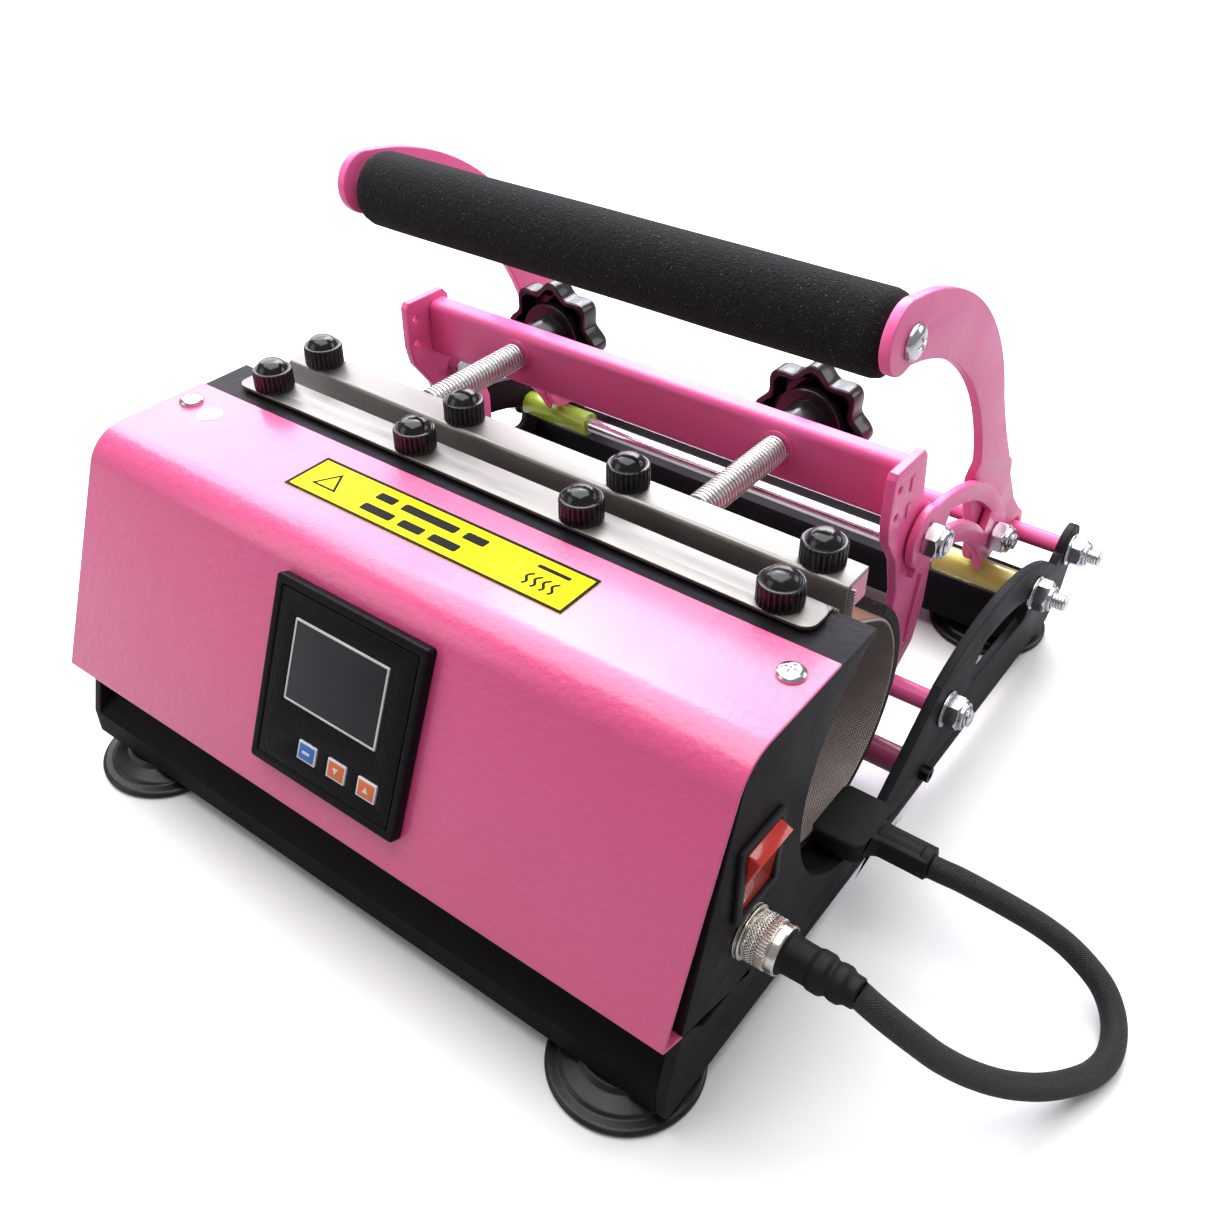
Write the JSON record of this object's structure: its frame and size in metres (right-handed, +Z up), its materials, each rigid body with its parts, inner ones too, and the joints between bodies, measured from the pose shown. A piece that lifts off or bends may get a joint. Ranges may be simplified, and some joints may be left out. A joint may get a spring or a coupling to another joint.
{
  "type": "mug heat press",
  "caption": "Mug heat press with a curved heater mat, toggle-lever jaw and sprung clamp bar, sloping control panel with display and keys, and rubber feet.",
  "frame": {"origin": "on the table, in the middle of the press's footprint", "axes": "+X to the user's right along the mug's axis, +Y to the back, +Z up"},
  "size_m": [0.425, 0.36, 0.2274],
  "materials": {
    "black_powder": "fine black powder coat",
    "black_panel": "fine black powder coat",
    "pink_powder": "orange-peel pink powder coat",
    "dark_pink": "pink powder coat in shadow",
    "rubber_black": "matt rubber",
    "foam_black": "fine closed-cell foam",
    "zinc_steel": "bright zinc plate",
    "brushed_strip": "brushed stainless sheet",
    "polished_rod": "polished rod",
    "black_screw": "black oxide",
    "nickel": "nickel plate",
    "gloss_black": "glossy phenolic",
    "matte_black": "matt moulded plastic",
    "display": "dark display window",
    "button_blue": "blue key",
    "button_orange": "orange key",
    "rocker_red": "translucent red",
    "sleeve_amber": "translucent amber tube",
    "label_yellow": "printed film",
    "heater_skin": "woven coating over silicone",
    "cable_braid": "woven sleeve",
    "silicone_black": "matt silicone"
  },
  "bodies": {
    "frame": {"side_plate_left": "black_powder", "side_plate_right": "black_powder", "front_beam": "black_powder", "rear_beam": "black_powder", "rubber_feet": "rubber_black", "foot_screws": "zinc_steel", "control_cover": "pink_powder", "top_plate": "black_panel", "cradle_wall": "black_powder", "cover_screws": "zinc_steel", "caution_label": "label_yellow", "front_clamp_strip": "brushed_strip", "front_clamp_studs": "zinc_steel", "controller_housing": "matte_black", "display_window": "display", "switch_housing": "matte_black", "cable_socket": "nickel", "connector_boot": "silicone_black", "heater_cable": "cable_braid", "heater_boot": "silicone_black", "heater_mat": "heater_skin", "power_inlet": "matte_black", "spacer_tube": "dark_pink", "spacer_screws": "black_screw", "bumper_rod": "polished_rod", "bumper_sleeves": "sleeve_amber", "pivot_rods": "zinc_steel", "frame_nuts": "zinc_steel"},
    "handle": {"handle_shaft": "pink_powder", "handle_arm_left": "pink_powder", "handle_arm_right": "pink_powder", "handle_tube": "brushed_strip", "foam_grip": "foam_black", "handle_screws": "zinc_steel", "handle_link_bolts": "zinc_steel"},
    "links": {"handle_links": "pink_powder", "link_nuts": "zinc_steel"},
    "jaw": {"jaw_shaft": "pink_powder", "jaw_arm_left": "pink_powder", "jaw_arm_right": "pink_powder", "jaw_link_bolts": "zinc_steel", "crossbar": "pink_powder"},
    "clamp": {"rear_clamp_bar": "pink_powder", "rear_clamp_strip": "brushed_strip", "pressure_springs": "brushed_strip"},
    "rocker": {"power_rocker": "rocker_red"},
    "ring": {"coupling_ring": "nickel"},
    "key_set": {"set_button": "button_blue"},
    "key_down": {"down_button": "button_orange"},
    "key_up": {"up_button": "button_orange"},
    "knob_left": {"star_knob_left": "gloss_black"},
    "knob_right": {"star_knob_right": "gloss_black"},
    "nut_front_1": {"thumb_nut_front_1": "gloss_black"},
    "nut_front_2": {"thumb_nut_front_2": "gloss_black"},
    "nut_front_3": {"thumb_nut_front_3": "gloss_black"},
    "nut_front_4": {"thumb_nut_front_4": "gloss_black"},
    "nut_rear_1": {"thumb_nut_rear_1": "gloss_black"},
    "nut_rear_2": {"thumb_nut_rear_2": "gloss_black"},
    "nut_rear_3": {"thumb_nut_rear_3": "gloss_black"},
    "nut_rear_4": {"thumb_nut_rear_4": "gloss_black"}
  },
  "joints": [
    {"name": "handle_hinge", "type": "hinge", "parent": "frame", "child": "handle", "pos_m": [0, 0.168, 0.0465], "axis": [1, 0, 0], "range_deg": [-70, 0]},
    {"name": "jaw_hinge", "type": "hinge", "parent": "frame", "child": "jaw", "pos_m": [0, 0.0308, 0.0444], "axis": [1, 0, 0], "range_deg": [-37.75, 0]},
    {"name": "link_hinge", "type": "hinge", "parent": "handle", "child": "links", "pos_m": [0, 0.1227, 0.0696], "axis": [1, 0, 0], "range_deg": [0, 99.85]},
    {"name": "clamp_slide", "type": "slide", "parent": "jaw", "child": "clamp", "axis": [0, 1, 0], "range_m": [0, 0.008], "stiffness_N_per_m": 1500, "deforming": ["pressure_springs"]},
    {"name": "rocker_hinge", "type": "hinge", "parent": "frame", "child": "rocker", "pos_m": [0.149, -0.122, 0.0918], "axis": [0, 1, 0], "range_deg": [0, 22]},
    {"name": "coupling_ring_turn", "type": "hinge", "parent": "frame", "child": "ring", "pos_m": [0.1595, -0.124, 0.063], "axis": [1, 0, 0], "continuous": true},
    {"name": "set_button_press", "type": "slide", "parent": "frame", "child": "key_set", "axis": [0, 0.9291, -0.3697], "range_m": [0, 0.0009], "stiffness_N_per_m": 500},
    {"name": "down_button_press", "type": "slide", "parent": "frame", "child": "key_down", "axis": [0, 0.9291, -0.3697], "range_m": [0, 0.0009], "stiffness_N_per_m": 500},
    {"name": "up_button_press", "type": "slide", "parent": "frame", "child": "key_up", "axis": [0, 0.9291, -0.3697], "range_m": [0, 0.0009], "stiffness_N_per_m": 500},
    {"name": "star_knob_left_turn", "type": "hinge", "parent": "clamp", "child": "knob_left", "pos_m": [-0.066, 0.0525, 0.14], "axis": [0, 1, 0], "continuous": true},
    {"name": "star_knob_right_turn", "type": "hinge", "parent": "clamp", "child": "knob_right", "pos_m": [0.066, 0.0525, 0.14], "axis": [0, 1, 0], "continuous": true},
    {"name": "thumb_nut_front_1_turn", "type": "hinge", "parent": "frame", "child": "nut_front_1", "pos_m": [-0.12, -0.0664, 0.149], "axis": [0, 0, 1], "continuous": true},
    {"name": "thumb_nut_front_2_turn", "type": "hinge", "parent": "frame", "child": "nut_front_2", "pos_m": [-0.04, -0.0664, 0.149], "axis": [0, 0, 1], "continuous": true},
    {"name": "thumb_nut_front_3_turn", "type": "hinge", "parent": "frame", "child": "nut_front_3", "pos_m": [0.04, -0.0664, 0.149], "axis": [0, 0, 1], "continuous": true},
    {"name": "thumb_nut_front_4_turn", "type": "hinge", "parent": "frame", "child": "nut_front_4", "pos_m": [0.12, -0.0664, 0.149], "axis": [0, 0, 1], "continuous": true},
    {"name": "thumb_nut_rear_1_turn", "type": "hinge", "parent": "clamp", "child": "nut_rear_1", "pos_m": [-0.12, -0.0388, 0.149], "axis": [0, 0, 1], "continuous": true},
    {"name": "thumb_nut_rear_2_turn", "type": "hinge", "parent": "clamp", "child": "nut_rear_2", "pos_m": [-0.04, -0.0388, 0.149], "axis": [0, 0, 1], "continuous": true},
    {"name": "thumb_nut_rear_3_turn", "type": "hinge", "parent": "clamp", "child": "nut_rear_3", "pos_m": [0.04, -0.0388, 0.149], "axis": [0, 0, 1], "continuous": true},
    {"name": "thumb_nut_rear_4_turn", "type": "hinge", "parent": "clamp", "child": "nut_rear_4", "pos_m": [0.12, -0.0388, 0.149], "axis": [0, 0, 1], "continuous": true}
  ],
  "couplings": [
    {"joint": "jaw_hinge", "follows": "handle_hinge", "ratio": 0.5392},
    {"joint": "link_hinge", "follows": "handle_hinge", "ratio": -1.4258}
  ]
}
